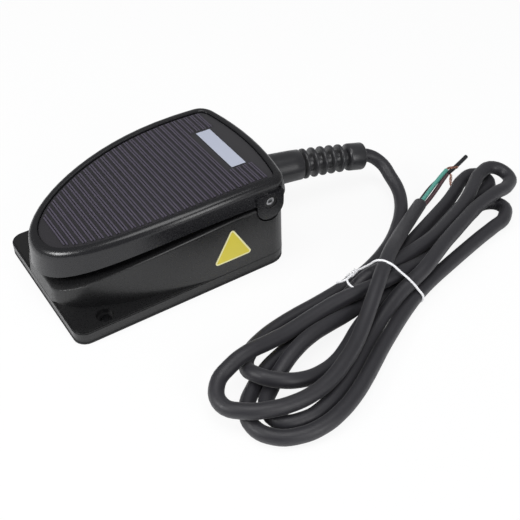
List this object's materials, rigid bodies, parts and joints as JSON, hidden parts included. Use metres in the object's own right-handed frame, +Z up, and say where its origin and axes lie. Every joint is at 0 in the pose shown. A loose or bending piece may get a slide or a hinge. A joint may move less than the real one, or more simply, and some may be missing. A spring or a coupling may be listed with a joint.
{
  "type": "industrial foot switch",
  "caption": "Low industrial foot switch with a hinged, ribbed pedal on a flanged case, a lever microswitch inside, and a sheathed lead with stripped cores tied in a hank.",
  "frame": {"origin": "centre of the foot switch's outline at the underside of its foot pad, cord left out", "axes": "+Z up from the floor, -Y towards the pedal's toe, +Y towards the cord exit, +X to the right of the user's foot"},
  "size_m": [0.2084, 0.2929, 0.0543],
  "materials": {
    "case_plastic": "satin",
    "plate_steel": "satin",
    "pad_rubber": "matte",
    "zinc_steel": "satin",
    "pin_steel": "polished",
    "switch_plastic": "satin",
    "terminal_brass": "satin",
    "plunger_plastic": "satin",
    "acetal": "satin",
    "mat_rubber": "matte",
    "boot_rubber": "satin",
    "cord_pvc": "satin",
    "core_green_pvc": "satin",
    "core_black_pvc": "satin",
    "core_red_pvc": "satin",
    "copper": "bare",
    "tie_plastic": "satin",
    "yellow_vinyl": "satin",
    "label_film": "satin"
  },
  "bodies": {
    "case": {"case": "case_plastic", "bottom_plate": "plate_steel", "foot_pad": "pad_rubber", "plate_seal": "pad_rubber", "plate_screws": "zinc_steel", "mount_sleeves": "zinc_steel", "hinge_pin": "pin_steel", "switch_bracket": "zinc_steel", "bracket_screws": "zinc_steel", "switch_body": "switch_plastic", "switch_screws": "zinc_steel", "switch_terminals": "terminal_brass", "return_spring": "pin_steel", "spring_guide": "zinc_steel", "stop_bumpers": "pad_rubber", "cable_clamp": "case_plastic", "clamp_screws": "zinc_steel", "inner_sheath": "cord_pvc", "inner_cores": "core_black_pvc", "cord_boot": "boot_rubber", "warning_triangle": "yellow_vinyl", "cord_lead": "cord_pvc", "cord_hank": "cord_pvc", "cord_tail": "cord_pvc", "core_green": "core_green_pvc", "core_black": "core_black_pvc", "core_red": "core_red_pvc", "copper_strands": "copper", "hank_tie": "tie_plastic"},
    "pedal": {"pedal_shell": "case_plastic", "tread_mat": "mat_rubber", "rating_label": "label_film", "hinge_bushes": "case_plastic", "spring_cup": "acetal", "striker": "acetal"},
    "lever": {"switch_lever": "pin_steel", "roller_pin": "pin_steel"},
    "roller": {"lever_roller": "acetal"},
    "plunger": {"switch_plunger": "plunger_plastic"}
  },
  "joints": [
    {"name": "pedal_hinge", "type": "hinge", "parent": "case", "child": "pedal", "pos_m": [0, 0.04995, 0.0434], "axis": [1, 0, 0], "range_deg": [0, 2], "stiffness_Nm_per_rad": 15, "springref_deg": -5.73, "deforming": ["return_spring"]},
    {"name": "lever_pivot", "type": "hinge", "parent": "case", "child": "lever", "pos_m": [0, 0.01035, 0.0348], "axis": [1, 0, 0], "range_deg": [0, 6.2]},
    {"name": "roller_spin", "type": "hinge", "parent": "lever", "child": "roller", "pos_m": [0, -0.00965, 0.0394], "axis": [1, 0, 0], "continuous": true},
    {"name": "plunger_slide", "type": "slide", "parent": "case", "child": "plunger", "axis": [0, 0, -1], "range_m": [0, 0.0008]}
  ],
  "couplings": [
    {"joint": "lever_pivot", "follows": "pedal_hinge", "ratio": 2.98},
    {"joint": "plunger_slide", "follows": "pedal_hinge", "m_per_rad": 0.0179}
  ]
}
